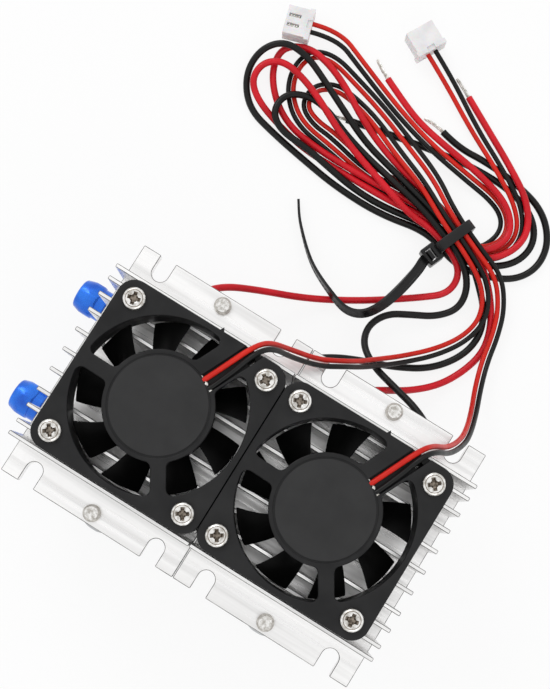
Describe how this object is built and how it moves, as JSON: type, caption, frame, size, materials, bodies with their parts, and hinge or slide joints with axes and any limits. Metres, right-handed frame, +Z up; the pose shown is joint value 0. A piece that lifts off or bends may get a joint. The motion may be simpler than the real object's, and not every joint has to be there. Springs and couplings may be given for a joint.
{
  "type": "thermoelectric cooling module",
  "caption": "Thermoelectric cooling module: finned heat sinks with axial fans over flat coolers on a shared water block, with hose ports and wired leads.",
  "frame": {"origin": "middle of the underside: centre of the rigid module's box in X and Y, lowest point of its screws in Z", "axes": "+X along the row of fans away from the hose ports, +Y towards the side the wires leave, +Z up out of the fans"},
  "size_m": [0.0992, 0.1478, 0.0514],
  "materials": {
    "mill_aluminium": "extruded, satin",
    "block_aluminium": "milled, satin",
    "bar_steel": "sheet, satin",
    "screw_nickel": "nickel plated",
    "shaft_steel": "ground",
    "cooler_ceramic": "matte alumina",
    "cooler_sealant": "white sealant",
    "fan_plastic": "fine matte texture",
    "rotor_plastic": "semi-gloss",
    "magnet": "bonded ferrite",
    "bearing_brass": "sintered",
    "stator_coil": "enamelled copper on laminations",
    "board": "solder mask",
    "fitting_blue": "blue anodised",
    "wire_red": "silicone insulation",
    "lead_red": "PVC insulation",
    "wire_black": "insulation",
    "tinned_copper": "tinned strands",
    "connector_white": "moulded nylon",
    "contact_tin": "tin plated",
    "tie_nylon": "satin nylon"
  },
  "bodies": {
    "module": {"cable_tie": "tie_nylon", "clamp_bar_left": "bar_steel", "clamp_bar_right": "bar_steel", "clamp_screws": "screw_nickel", "connector_contacts_left": "contact_tin", "connector_contacts_right": "contact_tin", "connector_housing_left": "connector_white", "connector_housing_right": "connector_white", "cooler_cold_plate_left": "cooler_ceramic", "cooler_cold_plate_right": "cooler_ceramic", "cooler_core_left": "cooler_sealant", "cooler_core_right": "cooler_sealant", "cooler_hot_plate_left": "cooler_ceramic", "cooler_hot_plate_right": "cooler_ceramic", "fan_bearing_left": "bearing_brass", "fan_bearing_right": "bearing_brass", "fan_board_left": "board", "fan_board_right": "board", "fan_frame_left": "fan_plastic", "fan_frame_right": "fan_plastic", "fan_screws_left": "screw_nickel", "fan_screws_right": "screw_nickel", "fan_stator_left": "stator_coil", "fan_stator_right": "stator_coil", "fan_wire_black_left": "wire_black", "fan_wire_black_right": "wire_black", "fan_wire_red_left": "lead_red", "fan_wire_red_right": "lead_red", "fitting_body_back": "fitting_blue", "fitting_body_front": "fitting_blue", "fitting_nut_back": "fitting_blue", "fitting_nut_front": "fitting_blue", "heat_sink_left": "mill_aluminium", "heat_sink_right": "mill_aluminium", "tec_wire_black_left": "wire_black", "tec_wire_black_right": "wire_black", "tec_wire_red_left": "wire_red", "tec_wire_red_right": "wire_red", "water_block": "block_aluminium", "wire_tips": "tinned_copper"},
    "rotor_left": {"fan_magnet_left": "magnet", "fan_rotor_left": "rotor_plastic", "fan_shaft_left": "shaft_steel"},
    "rotor_right": {"fan_magnet_right": "magnet", "fan_rotor_right": "rotor_plastic", "fan_shaft_right": "shaft_steel"}
  },
  "joints": [
    {"name": "rotor_left_spin", "type": "hinge", "parent": "module", "child": "rotor_left", "pos_m": [-0.01555, 0, 0.0442], "axis": [0, 0, 1], "continuous": true},
    {"name": "rotor_right_spin", "type": "hinge", "parent": "module", "child": "rotor_right", "pos_m": [0.02465, 0, 0.0442], "axis": [0, 0, 1], "continuous": true}
  ]
}
